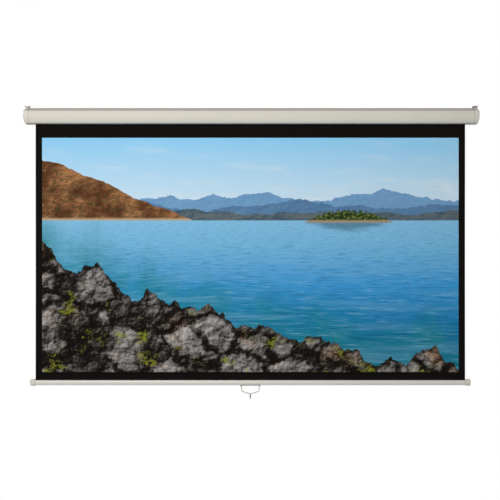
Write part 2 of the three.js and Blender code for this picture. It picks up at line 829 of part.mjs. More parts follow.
// A pawl in its locked place has its nose in the top notch; it is drawn lifted clear, as it
// stands while the roller turns.
function pawl(index) {
  const root = notch_floor_radius + pawl_tip_clearance;
  const [pivot_y, pivot_z] = pivotPlace(0);
  const eye = (degrees) => {
    const [y, z] = polar(pawl_eye_radius, degrees);
    return [pivot_y + y, pivot_z + z];
  };
  const outline = [
    polar(root, pawl_nose_angle),
    polar(root + pawl_heel_rise, -pawl_heel_angle),
    eye(pawl_belly_angle),
    [pivot_y, pivot_z],
    eye(pawl_back_angle),
    polar(root + pawl_nose_height, pawl_nose_angle),
  ];
  const shape = new THREE.Shape(outline.map(([y, z]) => new THREE.Vector2(y, z)));
  const from = flange_face + ratchet_clearance;
  const eye_disc = barX(pawl_eye_radius, from, from + pawl_thickness, pivot_y, pivot_z, small_sides);
  const bore = barX(pawl_pin_radius + seat_gap, 0, tube_length, pivot_y, pivot_z, small_sides);
  const arm = cut(join([prism(shape, from, from + pawl_thickness), eye_disc]), [bore]);
  arm.translate(0, -pivot_y, -pivot_z).rotateX(THREE.MathUtils.degToRad(-pawl_lift));
  arm.translate(0, pivot_y, pivot_z).rotateX((2 * Math.PI * index) / pawl_count);
  return piece(`pawl_${index + 1}`, arm, zinc);
}

// A plain disc in the tube that carries the spindle's inner end
function bearingDisc() {
  const disc = turned([
    [spindle_radius + seat_gap, bearing_from],
    [cup_radius, bearing_from],
    [cup_radius, bearing_from + bearing_disc_width],
    [spindle_radius + seat_gap, bearing_from + bearing_disc_width],
    [spindle_radius + seat_gap, bearing_from],
  ]);
  return piece('spindle_bearing', disc, nylon);
}

// Spring motor, drawn on the roller's axis
function spindle() {
  const rod_end = flange_face + pawl_stack + running_gap - seat_gap;
  const rod = barX(spindle_radius, tube_length / 2 - spindle_reach, rod_end);
  const half_width = blade_width / 2;
  const half_thickness = blade_thickness / 2;
  const blade = box(
    [rod_end - running_gap, -half_thickness, -half_width],
    [rod_end + blade_length - seat_gap, half_thickness, half_width],
  );
  return piece('spindle', join([rod, blade]), zinc);
}

function ratchetWheel() {
  const outline = [];
  const rim_angle = full_turn / notch_count - notch_face_angle - notch_ramp_angle;
  for (let i = 0; i < notch_count; i++) {
    const notch = (full_turn * i) / notch_count;
    outline.push(polar(notch_floor_radius, notch - notch_floor_angle));
    outline.push(polar(notch_floor_radius, notch + notch_face_angle));
    for (let k = 0; k <= rim_facets; k++) {
      outline.push(polar(ratchet_radius, notch + notch_face_angle + (rim_angle * k) / rim_facets));
    }
  }
  const shape = new THREE.Shape(outline.map(([y, z]) => new THREE.Vector2(y, z)));
  const from = flange_face + ratchet_clearance;
  const bore = barX(spindle_radius + seat_gap, 0, tube_length);
  return piece('ratchet_wheel', cut(prism(shape, from, from + ratchet_thickness), [bore]), zinc);
}

function springAnchor() {
  const collar = turned([
    [spindle_radius + seat_gap, anchor_from],
    [anchor_radius, anchor_from],
    [anchor_radius, anchor_from + anchor_width],
    [spindle_radius + seat_gap, anchor_from + anchor_width],
    [spindle_radius + seat_gap, anchor_from],
  ]);
  const hole_from = anchor_from + anchor_width - spring_tang - seat_gap;
  const hole = barX(
    spring_wire_radius + seat_gap,
    hole_from,
    anchor_from + anchor_width + overrun,
    0,
    spring_radius,
    small_sides,
  );
  return piece('spring_anchor', cut(collar, [hole]), zinc);
}

function torsionSpring() {
  const from = anchor_from + anchor_width + spring_wire_radius + seat_gap;
  const to = tube_length / 2 - plug_length - spring_wire_radius - seat_gap;
  const steps = spring_curls * spring_steps;
  const points = [[from - spring_wire_radius - spring_tang, 0, spring_radius]];
  for (let i = 0; i <= steps; i++) {
    const angle = (2 * Math.PI * i) / spring_steps;
    const x = from + ((to - from) * i) / steps;
    points.push([x, spring_radius * Math.sin(angle), spring_radius * Math.cos(angle)]);
  }
  points.push([to + spring_wire_radius + spring_tang, 0, spring_radius]);
  const curls = points.slice(1, -1).map((point) => new THREE.Vector3(...point));
  const apart = curls.slice(spring_steps).map((point, i) => point.distanceTo(curls[i]));
  console.log('least gap between curls:', (Math.min(...apart) - 2 * spring_wire_radius).toFixed(2), 'mm');
  return piece('torsion_spring', wire(points, spring_wire_radius, spring_sides), spring_steel);
}

function idleBush() {
  const bore = idle_pin_radius + seat_gap;
  const outer = bore + bush_wall;
  const face = -left_boss_reach;
  const bush = turned([
    [bore, face - bush_collar],
    [bush_collar_radius, face - bush_collar],
    [bush_collar_radius, face - seat_gap],
    [outer, face - seat_gap],
    [outer, face + bush_length - seat_gap],
    [bore, face + bush_length - seat_gap],
    [bore, face - bush_collar],
  ]);
  return piece('idle_bush', mirrored(bush).translate(0, axis_y, axis_height), nylon);
}

// Weight bar, drawn about its own middle
function weightBar() {
  const half = bar_height / 2;
  const side = bar_depth / 2;
  const mouth = bar_slot / 2;
  const front = [
    [mouth, half - bar_lip],
    [mouth, half],
    [side - bar_upper_setback, half, bar_top_radius],
    [side, 0, bar_side_radius],
    [side - bar_lower_setback, -half, bar_bottom_radius],
  ];
  const rear = front.map(([y, z, radius]) => [-y, z, radius]).reverse();
  const path = [...front, ...rear];
  const shape = stripShape(path, bar_wall);
  const bar = prism(shape, -bar_length / 2, bar_length / 2);
  const holes = [-1, 1].map((side_sign) =>
    barZ(screw_radius + seat_gap, -half - overrun, -half + overrun, side_sign * bracket_screw_spread, 0),
  );
  return piece('weight_bar', cut(bar, holes), bar_paint);
}

function hemRod() {
  const rod = barX(rod_radius, -cloth_width / 2, cloth_width / 2, 0, bar_height / 2 - rod_drop, small_sides);
  return piece('hem_rod', rod, zinc);
}

function barCap(name, flip) {
  const side = bar_cap_depth / 2;
  const high = bar_height / 2 + bar_cap_rise;
  const low = high - bar_cap_height;
  const outline = [
    [side, low, bar_cap_radius],
    [-side, low, bar_cap_radius],
    [-side, high, bar_cap_radius],
    [side, high, bar_cap_radius],
  ];
  const middle_z = (high + low) / 2;
  const ring = (x, inset) =>
    rounded(outline).map((point) => {
      const out = new THREE.Vector2(point.x, point.y - middle_z);
      out.setLength(out.length() - inset);
      return [x, out.x, out.y + middle_z];
    });
  const rings = [ring(seat_gap, bar_cap_neck), ring(bar_cap_neck + seat_gap, 0)];
  for (let i = 0; i <= edge_steps; i++) {
    const angle = ((Math.PI / 2) * i) / edge_steps;
    const x = bar_cap_length - bar_cap_round * (1 - Math.sin(angle));
    rings.push(ring(x, bar_cap_round * bar_cap_draw_share * (1 - Math.cos(angle))));
  }
  const plug_side = bar_depth / 2 - bar_lower_setback - bar_wall - seat_gap;
  const plug_low = -bar_height / 2 + bar_wall + seat_gap;
  const plug_high = bar_height / 2 - rod_drop - rod_radius - cloth_thickness - 2 * seat_gap;
  const plug = prism(
    outlineShape([
      [plug_side, plug_low, bar_bottom_radius - bar_wall - seat_gap],
      [-plug_side, plug_low, bar_bottom_radius - bar_wall - seat_gap],
      [-plug_side, plug_high],
      [plug_side, plug_high],
    ]),
    -bar_plug_reach,
    bar_cap_neck + seat_gap,
  );
  const made = join([loft(rings), plug]).translate(bar_length / 2, 0, 0);
  return piece(name, flip ? mirrored(made) : made, cap_plastic);
}

// Handle bracket: a strip under the bar, with a rolled ear at each end
function handleBracket() {
  const half = ear_from + ear_width;
  const plate = box(
    [-half, -bracket_width / 2, plate_top - bracket_thickness],
    [half, bracket_width / 2, plate_top],
  );
  const ears = [-half, ear_from].map((x) => barX(ear_radius, x, x + ear_width, 0, pivot_z));
  const bore = barX(wire_radius + seat_gap, -half - overrun, half + overrun, 0, pivot_z);
  const screw_holes = [-1, 1].map((side) =>
    barZ(screw_radius + seat_gap, plate_top - overrun, plate_top + overrun, side * bracket_screw_spread, 0),
  );
  return piece('handle_bracket', cut(join([plate, ...ears]), [bore, ...screw_holes]), zinc);
}

function bracketScrew(name, x) {
  const screw = panScrew(bracket_screw_length).rotateY(-Math.PI / 2);
  return piece(name, screw.translate(x, 0, plate_top - bracket_thickness - seat_gap), zinc);
}

// Pull: one bent wire, pinned in the ears, with an eye at its foot for a pull rod's hook
function pullWire() {
  const near = wire_radius + seat_gap / 2;
  const stub = ear_from + ear_width;
  const foot = -pull_drop;
  const neck_top = foot - pull_slope;
  const neck_foot = neck_top - neck_length;
  const eye_z = neck_foot - eye_length;
  const shoulder = Math.acos(eye_radius / eye_length);
  const eyePoint = (share) => {
    const angle = shoulder + 2 * (Math.PI - shoulder) * share;
    const across = eye_radius * Math.sin(angle);
    return [near * (2 * share - 1), -across, eye_z + eye_radius * Math.cos(angle)];
  };
  const half = [
    [-stub, 0, 0],
    [-pull_half_width, 0, 0, pivot_bend],
    [-pull_half_width, 0, foot, foot_bend],
    [-near, 0, neck_top, neck_bend],
    [-near, 0, neck_foot, neck_bend],
    eyePoint(0),
  ];
  const one_side = bentPath(half);
  const other_side = one_side.map(([x, y, z]) => [-x, -y, z]).reverse();
  const eye = Array.from({ length: eye_steps - 1 }, (_, k) => eyePoint((k + 1) / eye_steps));
  return piece('pull_wire', wire([...one_side, ...eye, ...other_side], wire_radius, wire_sides), wire_steel);
}

// The whole screen
const end_x = casing_length / 2;
const pawls = Array.from({ length: pawl_count }, (_, i) => i);
const screen = new THREE.Group();
screen.add(
  casing(),
  group(end_x, 0, 0, [
    endCap('right_end_cap', right_boss_reach, bladeSocket(), false),
    hanger('right_hanger', false),
    countersunkScrew('right_hanger_screw_top', hanger_outset, hanger_screw_heights[0]),
    countersunkScrew('right_hanger_screw_low', hanger_outset, hanger_screw_heights[1]),
    capScrew('right_cap_screw', -cap_screw_inset),
  ]),
  group(-end_x, 0, 0, [
    endCap('left_end_cap', left_boss_reach, bushSocket(), true),
    hanger('left_hanger', true),
    countersunkScrew('left_hanger_screw_top', -hanger_outset, hanger_screw_heights[0]),
    countersunkScrew('left_hanger_screw_low', -hanger_outset, hanger_screw_heights[1]),
    capScrew('left_cap_screw', cap_screw_inset),
    idleBush(),
  ]),
  group(cloth_x, axis_y, axis_height, [
    rollerTube(),
    clothWraps(),
    idlePlug(),
    drivePlug(),
    bearingDisc(),
    spindle(),
    ratchetWheel(),
    springAnchor(),
    torsionSpring(),
    ...pawls.map(pawlPin),
    ...pawls.map(pawl),
  ]),
  group(cloth_x, 0, 0, [clothSheet()]),
  group(cloth_x, cloth_y, bar_middle_z, [
    weightBar(),
    hemRod(),
    barCap('right_bar_cap', false),
    barCap('left_bar_cap', true),
    handleBracket(),
    bracketScrew('right_bracket_screw', bracket_screw_spread),
    bracketScrew('left_bracket_screw', -bracket_screw_spread),
    group(0, 0, pivot_z, [pullWire()]),
  ]),
);
console.log('travel of the bar:', travel.toFixed(2), 'mm');

export default screen;
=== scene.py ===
import math

import bmesh
import bpy
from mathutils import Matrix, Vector


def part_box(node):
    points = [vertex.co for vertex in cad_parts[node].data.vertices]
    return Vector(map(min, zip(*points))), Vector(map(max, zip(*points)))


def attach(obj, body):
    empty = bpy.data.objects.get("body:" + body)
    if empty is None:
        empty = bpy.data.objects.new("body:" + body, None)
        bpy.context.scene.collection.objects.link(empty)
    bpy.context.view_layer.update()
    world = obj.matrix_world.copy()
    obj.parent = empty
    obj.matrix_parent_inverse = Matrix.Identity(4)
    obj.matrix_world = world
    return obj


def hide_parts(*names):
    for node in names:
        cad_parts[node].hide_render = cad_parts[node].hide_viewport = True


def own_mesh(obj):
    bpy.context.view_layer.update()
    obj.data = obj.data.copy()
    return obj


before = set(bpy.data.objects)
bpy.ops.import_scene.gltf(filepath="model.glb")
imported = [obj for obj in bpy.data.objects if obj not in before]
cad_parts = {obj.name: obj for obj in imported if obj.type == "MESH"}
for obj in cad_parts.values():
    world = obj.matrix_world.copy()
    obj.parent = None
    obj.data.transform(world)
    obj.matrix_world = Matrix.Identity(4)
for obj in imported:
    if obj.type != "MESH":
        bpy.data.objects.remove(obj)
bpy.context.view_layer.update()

# The cloth hangs in one plane, and its hem goes round the rod evenly on both sides of it.
cloth_low, cloth_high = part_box("screen_cloth")
cloth_y = (cloth_low[1] + cloth_high[1]) / 2
cloth_width = cloth_high[0] - cloth_low[0]
cloth_middle = (cloth_low[0] + cloth_high[0]) / 2

# Camera, level and square to the cloth
VIEW_WIDTH = 2.233
VIEW_MIDDLE = (-0.0061, -0.5975)
VIEW_DISTANCE = 5.0
SENSOR = 36.0


def add_camera():
    data = bpy.data.cameras.new("camera")
    data.sensor_width = SENSOR
    data.sensor_height = SENSOR
    data.lens = SENSOR * VIEW_DISTANCE / VIEW_WIDTH
    camera = bpy.data.objects.new("camera", data)
    camera.location = (VIEW_MIDDLE[0], cloth_y - VIEW_DISTANCE, VIEW_MIDDLE[1])
    camera.rotation_euler = (math.pi / 2, 0.0, 0.0)
    bpy.context.collection.objects.link(camera)
    bpy.context.scene.camera = camera


add_camera()


# Sockets of the Mix node where it mixes colours
MIX_SHARE, MIX_A, MIX_B, MIX_RESULT = 0, 6, 7, 2

# Painted shade in open joints: ambient occlusion darkens a colour where another surface is close
JOINT_SHADE_REACH = 0.003
JOINT_SHADE_BRIGHTNESS = 0.15

# Samples of the shader nodes that look round a point
NEAR_SAMPLES = 6


# Material nodes
class Paint:
    """A material with its shader and the nodes that feed it."""

    def __init__(self, name, **values):
        self.material = bpy.data.materials.new(name)
        self.material.use_nodes = True
        self.tree = self.material.node_tree
        self.shader = self.tree.nodes["Principled BSDF"]
        for key, value in values.items():
            self.feed(self.shader.inputs[key.replace("_", " ")], value)

    def feed(self, socket, value):
        if isinstance(value, bpy.types.NodeSocket):
            self.tree.links.new(value, socket)
        else:
            socket.default_value = value

    def add(self, kind, inputs=(), **settings):
        node = self.tree.nodes.new("ShaderNode" + kind)
        for key, value in settings.items():
            setattr(node, key, value)
        for key, value in dict(inputs).items():
            self.feed(node.inputs[key], value)
        return node

    def math(self, operation, *values):
        node = self.add("Math", operation=operation)
        for socket, value in zip(node.inputs, values):
            self.feed(socket, value)
        return node.outputs[0]

    def sum(self, *values):
        total = values[0]
        for value in values[1:]:
            total = self.math("ADD", total, value)
        return total

    def times(self, a, b):
        return self.math("MULTIPLY", a, b)

    def minus(self, a, b):
        return self.math("SUBTRACT", a, b)

    def mix(self, share, a, b, mode="MIX"):
        node = self.add("Mix", data_type="RGBA", blend_type=mode)
        self.feed(node.inputs[MIX_SHARE], share)
        self.feed(node.inputs[MIX_A], a)
        self.feed(node.inputs[MIX_B], b)
        return node.outputs[MIX_RESULT]

    def step(self, value, low, high):
        """0 below low, 1 above high and smooth between them."""
        node = self.add("MapRange", interpolation_type="SMOOTHSTEP")
        self.feed(node.inputs["Value"], value)
        self.feed(node.inputs["From Min"], low)
        self.feed(node.inputs["From Max"], high)
        return node.outputs["Result"]

    def scaled(self, value, low, high, to_low, to_high):
        """Maps low to to_low and high to to_high, and stays at them beyond."""
        node = self.add("MapRange")
        names = ("Value", "From Min", "From Max", "To Min", "To Max")
        for key, number in zip(names, (value, low, high, to_low, to_high)):
            self.feed(node.inputs[key], number)
        return node.outputs["Result"]

    def noise(self, place, scale, detail=2.0, roughness=0.5, **settings):
        node = self.add("TexNoise", **settings)
        self.feed(node.inputs["W" if settings.get("noise_dimensions") == "1D" else "Vector"], place)
        self.feed(node.inputs["Scale"], scale)
        self.feed(node.inputs["Detail"], detail)
        self.feed(node.inputs["Roughness"], roughness)
        return node.outputs[0]

    def cells(self, place, scale, feature="F1"):
        node = self.add("TexVoronoi", feature=feature)
        self.feed(node.inputs["Vector"], place)
        self.feed(node.inputs["Scale"], scale)
        return node

    def ramp(self, value, stops):
        node = self.add("ValToRGB")
        elements = node.color_ramp.elements
        while len(elements) < len(stops):
            elements.new(0.5)
        for element, (place, color) in zip(elements, stops):
            element.position = place
            element.color = (*color, 1.0)
        self.feed(node.inputs[0], value)
        return node.outputs[0]

    def combine(self, x, y, z=0.0):
        return self.add("CombineXYZ", {"X": x, "Y": y, "Z": z}).outputs[0]

    def stretched(self, place, x, y, z):
        return self.add("VectorMath", {0: place, 1: (x, y, z)}, operation="MULTIPLY").outputs[0]

    def bump(self, height, distance, edge=0.0, strength=1.0):
        node = self.add("Bump", {"Height": height, "Distance": distance, "Strength": strength})
        if edge:
            bevel = self.add("Bevel", {"Radius": edge}, samples=NEAR_SAMPLES)
            self.feed(node.inputs["Normal"], bevel.outputs[0])
        self.feed(self.shader.inputs["Normal"], node.outputs[0])

    def joint_shade(self, tint, color):
        """Paints shade into a colour in open joints, darker where another surface is close."""
        node = self.add("AmbientOcclusion", {"Distance": JOINT_SHADE_REACH}, samples=NEAR_SAMPLES)
        painted_shade = (*(JOINT_SHADE_BRIGHTNESS * c for c in color), 1)
        return self.mix(self.step(node.outputs["AO"], 0.1, 0.75), painted_shade, tint)

    def spots(self):
        return self.add("TexCoord").outputs["Object"]


def rgb(red, green, blue):
    """A screen colour, 0 to 255, as the linear colour that shaders take."""
    shares = [(c, c / 255) for c in (red, green, blue)]
    return [((share + 0.055) / 1.055) ** 2.4 if c > 10 else share / 12.92 for c, share in shares]


def powder_coat(name, color, edge, gloss=0.12, roughness=0.5):
    """Powder coat on sheet steel: orange peel, faint clouding, a little dust and painted shade in open
    joints.
    """
    p = Paint(name, Specular_IOR_Level=gloss)
    place = p.spots()
    cloud = p.noise(place, 5.0, 3.0)
    speck = p.noise(place, 900.0, 1.0)
    tint = p.mix(p.scaled(cloud, 0.3, 0.7, 0.0, 1.0), (*(0.965 * c for c in color), 1), (*color, 1))
    tint = p.mix(p.times(p.step(speck, 0.62, 0.72), 0.05), tint, (*(0.6 * c for c in color), 1))
    # painted shade in open joints darkens the base colour
    p.feed(p.shader.inputs["Base Color"], p.joint_shade(tint, color))
    p.feed(p.shader.inputs["Roughness"], p.scaled(cloud, 0.3, 0.7, roughness, roughness + 0.08))
    peel = p.sum(p.noise(place, 320.0, 2.0), p.times(p.noise(place, 1500.0, 1.0), 0.3))
    p.bump(peel, 0.00006, edge)
    return p.material


def moulding(name, color, roughness, edge, grain=700.0):
    """Moulded plastic with a fine spark eroded grain and painted shade in open joints."""
    p = Paint(name, Specular_IOR_Level=0.2)
    place = p.spots()
    cloud = p.noise(place, 14.0, 3.0)
    tint = p.mix(cloud, (*(0.97 * c for c in color), 1), (*color, 1))
    # painted shade in open joints darkens the base colour
    p.feed(p.shader.inputs["Base Color"], p.joint_shade(tint, color))
    p.feed(p.shader.inputs["Roughness"], p.scaled(cloud, 0.3, 0.7, roughness - 0.04, roughness + 0.05))
    p.bump(p.noise(place, grain, 3.0, 0.6), 0.00012, edge)
    return p.material


def plated(name, color, roughness, edge, spangle=0.0, drawn=(1, 1, 1)):
    """Plated steel: drawn lines along the metal, and a spangle where the zinc shows one."""
    p = Paint(name, Metallic=1.0)
    place = p.spots()
    lines = p.noise(p.stretched(place, *drawn), 160.0, 3.0, 0.65)
    shade = p.scaled(lines, 0.3, 0.7, 0.9, 1.06)
    if spangle:
        flake = p.add("SeparateColor", {0: p.cells(place, spangle).outputs["Color"]}).outputs[0]
        shade = p.times(shade, p.scaled(flake, 0.0, 1.0, 0.9, 1.08))
    tint = p.mix(1.0, (*color, 1), p.combine(shade, shade, shade), "MULTIPLY")
    p.feed(p.shader.inputs["Base Color"], tint)
    p.feed(p.shader.inputs["Roughness"], p.scaled(lines, 0.3, 0.7, roughness - 0.06, roughness + 0.08))
    p.bump(lines, 0.00005, edge)
    return p.material


# Picture on the screen: a lake under mountains, with a stony shore at the left and a wooded islet.
IMAGE_HALF_WIDTH = 0.93
IMAGE_HALF_HEIGHT = 0.523
TOP_BORDER = 0.06
WATERLINE = 0.155


def ridge(p, u, base, height, scale, seed, rough=0.6):
    """The height of a skyline over u."""
    wave = p.noise(p.sum(u, seed), scale, 9.0, rough, noise_dimensions="1D")
    return p.sum(p.times(p.minus(wave, 0.5), 2 * height), base)


def slope_light(p, u, v, scale, stretch, seed):
    """Light and shade on rough ground, lit from the upper left."""
    here = p.combine(p.sum(u, seed), p.times(v, stretch))
    there = p.combine(p.sum(u, seed - 0.005), p.times(p.sum(v, 0.006), stretch))
    difference = p.minus(p.noise(here, scale, 8.0, 0.62), p.noise(there, scale, 8.0, 0.62))
    return p.scaled(difference, -0.1, 0.1, 0.0, 1.0)


def land(p, picture, u, v, top, colors, light, haze):
    """Puts a skyline and the ground under it over the picture."""
    ground = p.mix(light, (*colors[0], 1), (*colors[1], 1))
    ground = p.mix(haze, ground, (*rgb(140, 190, 226), 1))
    return p.mix(p.step(p.minus(top, v), 0.0, 0.003), picture, ground)


def sky_and_hills(p, u, v):
    rise = p.minus(v, WATERLINE)
    sky = p.ramp(
        p.scaled(rise, 0.0, 0.37, 0.0, 1.0),
        [(0.0, rgb(230, 244, 254)), (0.4, rgb(200, 234, 255)), (1.0, rgb(148, 216, 255))],
    )
    wisps = p.noise(p.combine(p.times(p.sum(u, p.times(v, 0.6)), 1.3), p.times(v, 6.0)), 2.4, 9.0, 0.62)
    wisps = p.times(p.step(wisps, 0.5, 0.78), p.scaled(rise, 0.05, 0.34, 0.9, 0.25))
    picture = p.mix(wisps, sky, (*rgb(246, 250, 252), 1))
    far = slope_light(p, u, v, 9.0, 1.4, 3.1)
    hills = (
        (ridge(p, u, 0.255, 0.10, 1.6, 4.2), (rgb(82, 128, 180), rgb(118, 162, 204)), 0.4),
        (ridge(p, u, 0.222, 0.075, 2.3, 11.7), (rgb(48, 88, 138), rgb(92, 128, 164)), 0.22),
        (ridge(p, u, 0.190, 0.035, 3.4, 23.9), (rgb(44, 62, 78), rgb(112, 116, 108)), 0.1),
    )
    for top, colors, haze in hills:
        picture = land(p, picture, u, v, top, colors, far, haze)
    return picture


def hillside(p, picture, u, v):
    """The slope that comes down to the water at the left, with scrub and a strip of sand."""
    near = slope_light(p, u, v, 12.0, 1.2, 7.7)
    fold = p.noise(p.combine(p.times(u, 1.6), p.times(v, 2.4)), 5.0, 5.0, 0.55)
    scrub = p.noise(p.combine(u, p.times(v, 1.5)), 60.0, 5.0, 0.7)
    top = p.sum(ridge(p, u, 0.11, 0.03, 5.0, 31.0), p.times(p.step(u, 0.02, -1.15), 0.35))
    earth = p.mix(p.step(fold, 0.38, 0.62), (*rgb(112, 66, 40), 1), (*rgb(196, 140, 92), 1))
    ground = p.mix(p.times(p.minus(1.0, near), 0.75), earth, (*rgb(48, 32, 28), 1))
    green = p.times(p.step(scrub, 0.52, 0.6), p.step(p.minus(top, v), 0.004, 0.05))
    ground = p.mix(p.times(green, 0.8), ground, (*rgb(58, 70, 38), 1))
    beach = p.step(p.minus(v, WATERLINE), 0.014, 0.002)
    ground = p.mix(p.times(beach, 0.8), ground, (*rgb(206, 186, 152), 1))
    return p.mix(p.step(p.minus(top, v), 0.0, 0.003), picture, ground)


def lake(p, u, v, shallow):
    """Water whose ripples get longer and closer towards the far shore, greener over shallow ground."""
    depth = p.math("MAXIMUM", p.minus(WATERLINE, v), 0.001)
    water = p.ramp(
        p.scaled(depth, 0.0, 0.68, 0.0, 1.0),
        [
            (0.0, rgb(142, 204, 242)),
            (0.16, rgb(124, 194, 236)),
            (0.42, rgb(64, 160, 222)),
            (0.64, rgb(36, 134, 190)),
            (1.0, rgb(10, 100, 142)),
        ],
    )
    water = p.mix(shallow, water, (*rgb(34, 136, 140), 1))
    away = p.math("DIVIDE", 1.0, p.sum(depth, 0.06))
    across = p.times(p.times(u, away), 0.62)
    down = p.times(p.math("LOGARITHM", p.sum(depth, 0.03), 2.0), 5.0)
    crests = p.noise(p.combine(p.sum(across, p.times(down, 0.16)), down), 4.6, 5.0, 0.58)
    cross = p.noise(p.combine(p.sum(p.minus(across, p.times(down, 0.3)), 7.0), down), 9.5, 5.0, 0.62)
    glitter = p.times(p.step(p.sum(crests, cross), 1.02, 1.28), 0.32)
    hollow = p.times(p.step(p.sum(crests, cross), 0.98, 0.74), 0.5)
    water = p.mix(glitter, water, (*rgb(168, 216, 240), 1))
    water = p.mix(hollow, water, (*rgb(12, 76, 116), 1))
    swell = p.noise(p.combine(p.times(across, 0.7), p.times(down, 0.8)), 1.5, 3.0)
    return p.mix(p.times(p.step(swell, 0.46, 0.68), 0.26), water, (*rgb(128, 190, 226), 1))


def islet(p, picture, u, v, leaf):
    """A low wooded islet and its broken mirror image in the water."""
    across = p.times(p.minus(u, 0.44), 1 / 0.2)
    dome = p.times(p.minus(1.0, p.times(across, across)), 0.055)
    trees = p.noise(u, 70.0, 4.0, 0.7, noise_dimensions="1D")
    crowns = p.times(p.minus(trees, 0.5), p.times(p.step(dome, -0.002, 0.02), 0.055))
    top = p.sum(dome, crowns, WATERLINE - 0.0105)
    leaves = p.ramp(
        p.step(leaf, 0.34, 0.66),
        [(0.0, rgb(20, 32, 18)), (0.55, rgb(58, 80, 38)), (1.0, rgb(136, 146, 78))],
    )
    low = WATERLINE - 0.012
    shape = p.times(p.step(p.minus(top, v), 0.0, 0.002), p.step(v, low, low + 0.002))
    picture = p.mix(shape, picture, leaves)
    rim = p.times(shape, p.step(v, WATERLINE + 0.004, WATERLINE - 0.003))
    picture = p.mix(rim, picture, (*rgb(168, 150, 122), 1))
    streaks = p.noise(p.combine(p.times(u, 5.0), p.times(v, 70.0)), 2.0, 4.0, 0.6)
    below = p.minus(low, v)
    reach = p.sum(p.times(dome, 0.9), p.times(p.minus(streaks, 0.5), 0.07))
    mirror = p.times(p.step(p.minus(reach, below), 0.0, 0.035), p.step(below, -0.001, 0.001))
    return p.mix(p.times(mirror, 0.55), picture, (*rgb(26, 58, 62), 1))


def boulders(p, place, size, spread):
    """The light on round stones lit from the upper left, and the dark joints between them."""
    cells = p.cells(place, size)
    offset = p.add("VectorMath", {0: place, 1: cells.outputs["Position"]}, operation="SUBTRACT").outputs[0]
    split = p.add("SeparateXYZ", {0: offset})
    lean = p.minus(p.times(split.outputs[1], 0.8), p.times(split.outputs[0], 0.6))
    joint = p.cells(place, size, "DISTANCE_TO_EDGE").outputs["Distance"]
    return p.scaled(lean, -spread / size, spread / size, 0.0, 1.0), joint


def stones(p, u, v, leaf):
    """Weathered rock: lit faces, deep hollows, warm earth and moss."""
    place = p.combine(u, p.times(v, 1.25))
    bends = p.add("TexNoise", {"Vector": place, "Scale": 7.0, "Detail": 5.0, "Roughness": 0.6})
    warp = p.stretched(bends.outputs["Color"], 0.16, 0.16, 0.0)
    place = p.add("VectorMath", {0: place, 1: warp}).outputs[0]
    big, big_joint = boulders(p, place, 5.5, 0.75)
    small, small_joint = boulders(p, place, 15.0, 0.7)
    grit = slope_light(p, u, v, 30.0, 1.0, 15.3)
    rough = slope_light(p, u, v, 13.0, 1.1, 5.9)
    light = p.sum(p.times(big, 0.34), p.times(small, 0.2), p.times(rough, 0.3), p.times(grit, 0.26))
    hollow = p.times(p.step(big_joint, 0.16, 0.0), 0.42)
    hollow = p.sum(hollow, p.times(p.step(small_joint, 0.14, 0.0), 0.2))
    stone = p.ramp(
        p.minus(light, hollow),
        [
            (0.0, rgb(18, 15, 13)),
            (0.2, rgb(44, 39, 35)),
            (0.4, rgb(98, 94, 90)),
            (0.62, rgb(148, 146, 144)),
            (0.85, rgb(202, 198, 190)),
        ],
    )
    tone = p.noise(place, 2.6, 4.0, 0.6)
    warm = p.mix(1.0, stone, (1.25, 0.78, 0.46, 1), "MULTIPLY")
    stone = p.mix(p.times(p.step(tone, 0.5, 0.66), 0.85), stone, warm)
    moss = p.times(p.step(p.noise(place, 6.5, 6.0, 0.7), 0.57, 0.64), p.step(light, 0.35, 0.6))
    green = p.mix(leaf, (*rgb(92, 104, 30), 1), (*rgb(196, 196, 66), 1))
    return p.mix(p.times(moss, 0.7), stone, green)


def scenery(p, u, v):
    leaf = p.noise(p.combine(u, v), 75.0, 6.0, 0.7)
    picture = hillside(p, sky_and_hills(p, u, v), u, v)
    edge = p.noise(p.combine(u, v), 5.0, 10.0, 0.6)
    along = p.scaled(u, -IMAGE_HALF_WIDTH, 0.72, 0.0, 1.0)
    profile = p.noise(p.sum(u, 2.6), 4.0, 6.0, 0.55, noise_dimensions="1D")
    shore = p.sum(0.02, p.times(p.math("POWER", along, 0.75), -0.5))
    shore = p.sum(shore, p.times(p.minus(profile, 0.5), 0.3), p.times(p.minus(edge, 0.5), 0.15))
    under = p.minus(shore, v)
    shallow = p.times(p.step(under, -0.24, 0.02), p.scaled(edge, 0.35, 0.65, 0.35, 0.85))
    picture = p.mix(p.step(v, WATERLINE, WATERLINE - 0.002), picture, lake(p, u, v, shallow))
    picture = islet(p, picture, u, v, leaf)
    stone = stones(p, u, v, leaf)
    stone = p.mix(p.times(p.step(under, 0.035, 0.0), 0.7), stone, (*rgb(30, 28, 26), 1))
    return p.mix(p.step(under, 0.0, 0.003), picture, stone)


def screen_front():
    """Matt coated cloth: the picture inside a printed black mask."""
    p = Paint("screen_front", Roughness=0.9, Specular_IOR_Level=0.06)
    uv = p.add("UVMap", uv_map="cut").outputs[0]
    split = p.add("SeparateXYZ", {0: uv})
    u, v = split.outputs[0], split.outputs[1]
    picture = scenery(p, u, v)
    beyond_side = p.minus(p.math("ABSOLUTE", u), IMAGE_HALF_WIDTH)
    beyond_end = p.minus(p.math("ABSOLUTE", v), IMAGE_HALF_HEIGHT)
    mask = p.step(p.math("MAXIMUM", beyond_side, beyond_end), -0.0004, 0.0004)
    fleck = p.noise(uv, 260.0, 3.0, 0.7)
    black = p.mix(fleck, (*rgb(14, 12, 10), 1), (*rgb(21, 19, 17), 1))
    p.feed(p.shader.inputs["Base Color"], p.mix(mask, picture, black))
    p.bump(p.sum(p.noise(uv, 1400.0, 2.0), p.times(weave(p, uv, 900.0), 0.4)), 0.00008)
    return p.material


def weave(p, place, scale):
    """Threads that cross at right angles."""
    across = p.add("TexWave", {"Vector": place, "Scale": scale}, bands_direction="X").outputs[1]
    along = p.add("TexWave", {"Vector": place, "Scale": scale}, bands_direction="Y").outputs[1]
    return p.times(across, along)


